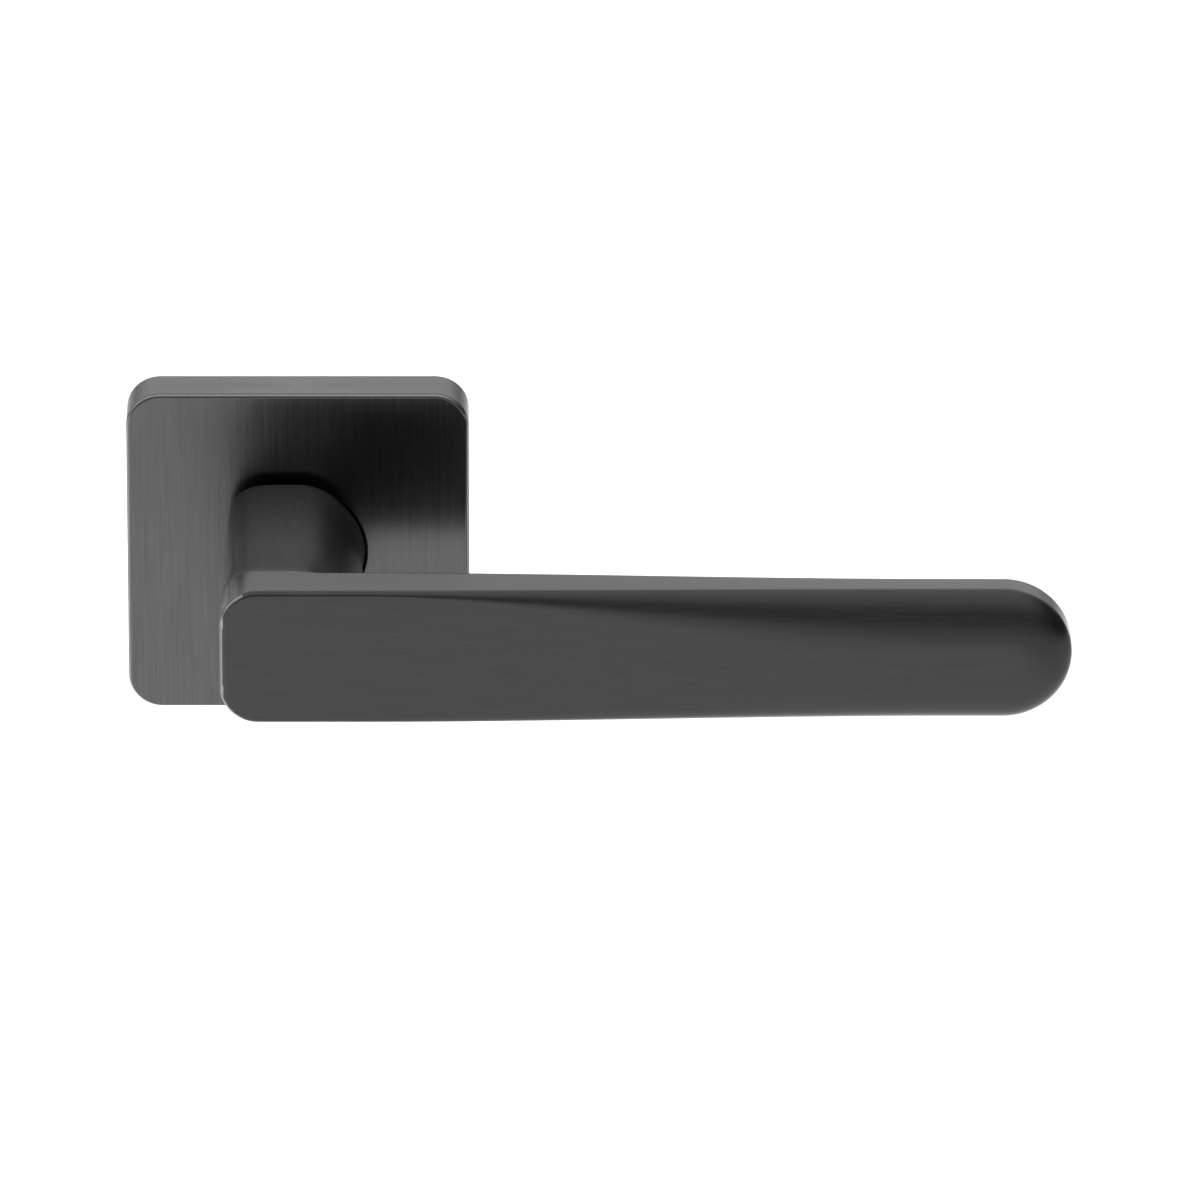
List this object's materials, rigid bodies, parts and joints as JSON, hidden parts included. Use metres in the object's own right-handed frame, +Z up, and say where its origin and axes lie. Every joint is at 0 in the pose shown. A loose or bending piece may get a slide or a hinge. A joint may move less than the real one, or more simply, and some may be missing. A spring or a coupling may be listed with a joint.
{
  "type": "door lever handle",
  "caption": "Flat satin metal lever on a square neck, turning in a sprung square rose, with a square spindle and bolts for the door.",
  "frame": {"origin": "on the turning axis, in the plane of the door's face behind the rose", "axes": "+X along the lever towards its tip, +Y into the door along the spindle, +Z up"},
  "size_m": [0.1374, 0.0899, 0.05],
  "materials": {
    "satin_nickel": "fine satin, dark nickel",
    "zinc": "plain die-cast zinc",
    "nylon": "black nylon, matt",
    "steel": "bright zinc plated",
    "spring_steel": "plain spring steel"
  },
  "bodies": {
    "rose": {"rose_cover": "satin_nickel", "base_plate": "zinc", "guide_ring": "nylon", "rear_bush": "nylon", "spring_plate": "steel", "through_bolt_left": "steel", "through_bolt_right": "steel", "wood_screw_left": "steel", "wood_screw_right": "steel", "plate_screw_1": "steel", "plate_screw_2": "steel", "plate_screw_3": "steel", "plate_screw_4": "steel", "spring_upper": "spring_steel", "spring_lower": "spring_steel", "cover_clip_1": "spring_steel", "cover_clip_2": "spring_steel", "cover_clip_3": "spring_steel", "cover_clip_4": "spring_steel"},
    "lever": {"lever": "satin_nickel", "spindle": "steel", "grub_screw": "spring_steel", "rotor": "zinc", "thrust_washer": "steel", "wave_washer": "spring_steel", "circlip": "spring_steel"}
  },
  "joints": [
    {"name": "lever_turn", "type": "hinge", "parent": "rose", "child": "lever", "pos_m": [0, 0, 0], "axis": [0, 1, 0], "range_deg": [0, 45], "stiffness_Nm_per_rad": 0.7, "springref_deg": -28.65, "deforming": ["spring_upper", "spring_lower"]}
  ]
}
